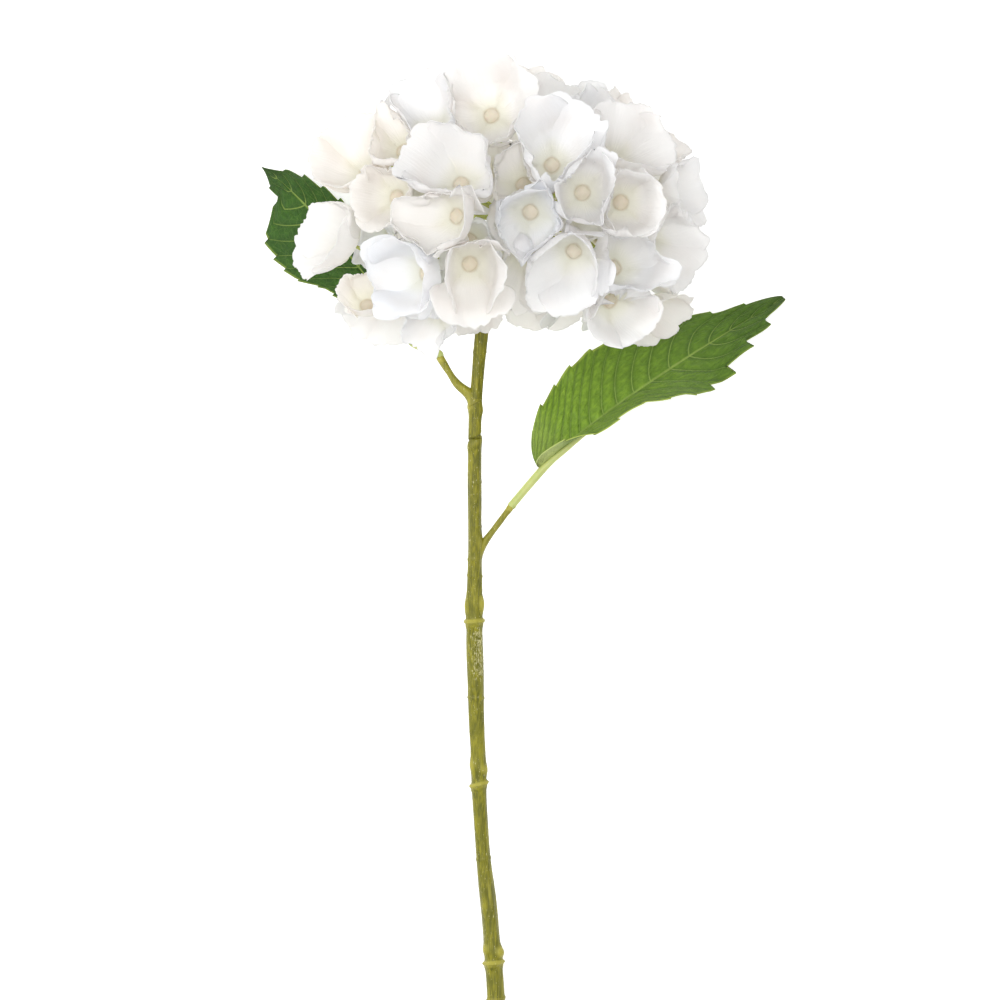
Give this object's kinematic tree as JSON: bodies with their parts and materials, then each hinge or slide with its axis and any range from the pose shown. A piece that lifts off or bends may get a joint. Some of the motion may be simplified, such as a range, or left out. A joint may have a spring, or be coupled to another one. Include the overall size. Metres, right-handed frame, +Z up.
{
  "type": "cut hydrangea",
  "caption": "Cut hydrangea lying down: a long stem with collars and toothed leaves, and a round head of white petalled florets.",
  "frame": {"origin": "middle of the whole flower's bounding box, on the surface that it lies on", "axes": "+Y from the cut end of the stem to the flower head, +Z up from the surface, +X to the side of the larger visible leaf"},
  "size_m": [0.2526, 0.484, 0.1562],
  "materials": {
    "petal_fabric": "fine woven, soft, slightly see-through",
    "leaf_fabric": "printed woven, satin",
    "stem_plastic": "moulded, fine ribs, satin",
    "stalk_plastic": "moulded, satin",
    "spray_plastic": "moulded, satin"
  },
  "bodies": {
    "root": {"floret_01": "petal_fabric", "floret_02": "petal_fabric", "floret_03": "petal_fabric", "floret_04": "petal_fabric", "floret_05": "petal_fabric", "floret_06": "petal_fabric", "floret_07": "petal_fabric", "floret_08": "petal_fabric", "floret_09": "petal_fabric", "floret_10": "petal_fabric", "floret_11": "petal_fabric", "floret_12": "petal_fabric", "floret_13": "petal_fabric", "floret_14": "petal_fabric", "floret_15": "petal_fabric", "floret_16": "petal_fabric", "floret_17": "petal_fabric", "floret_18": "petal_fabric", "floret_19": "petal_fabric", "floret_20": "petal_fabric", "floret_21": "petal_fabric", "floret_22": "petal_fabric", "floret_23": "petal_fabric", "floret_24": "petal_fabric", "floret_25": "petal_fabric", "floret_26": "petal_fabric", "floret_27": "petal_fabric", "floret_28": "petal_fabric", "floret_29": "petal_fabric", "floret_30": "petal_fabric", "floret_31": "petal_fabric", "floret_32": "petal_fabric", "floret_33": "petal_fabric", "floret_34": "petal_fabric", "floret_35": "petal_fabric", "floret_36": "petal_fabric", "floret_37": "petal_fabric", "floret_38": "petal_fabric", "floret_39": "petal_fabric", "floret_40": "petal_fabric", "floret_41": "petal_fabric", "floret_42": "petal_fabric", "floret_43": "petal_fabric", "floret_44": "petal_fabric", "floret_45": "petal_fabric", "floret_46": "petal_fabric", "floret_47": "petal_fabric", "floret_48": "petal_fabric", "leaf_left": "leaf_fabric", "leaf_left_stalk": "stalk_plastic", "leaf_right": "leaf_fabric", "leaf_right_stalk": "stalk_plastic", "spray_back": "spray_plastic", "spray_front": "spray_plastic", "spray_left": "spray_plastic", "spray_right": "spray_plastic", "spray_top": "spray_plastic", "stem_lower": "stem_plastic", "stem_upper": "stem_plastic"}
  },
  "joints": []
}
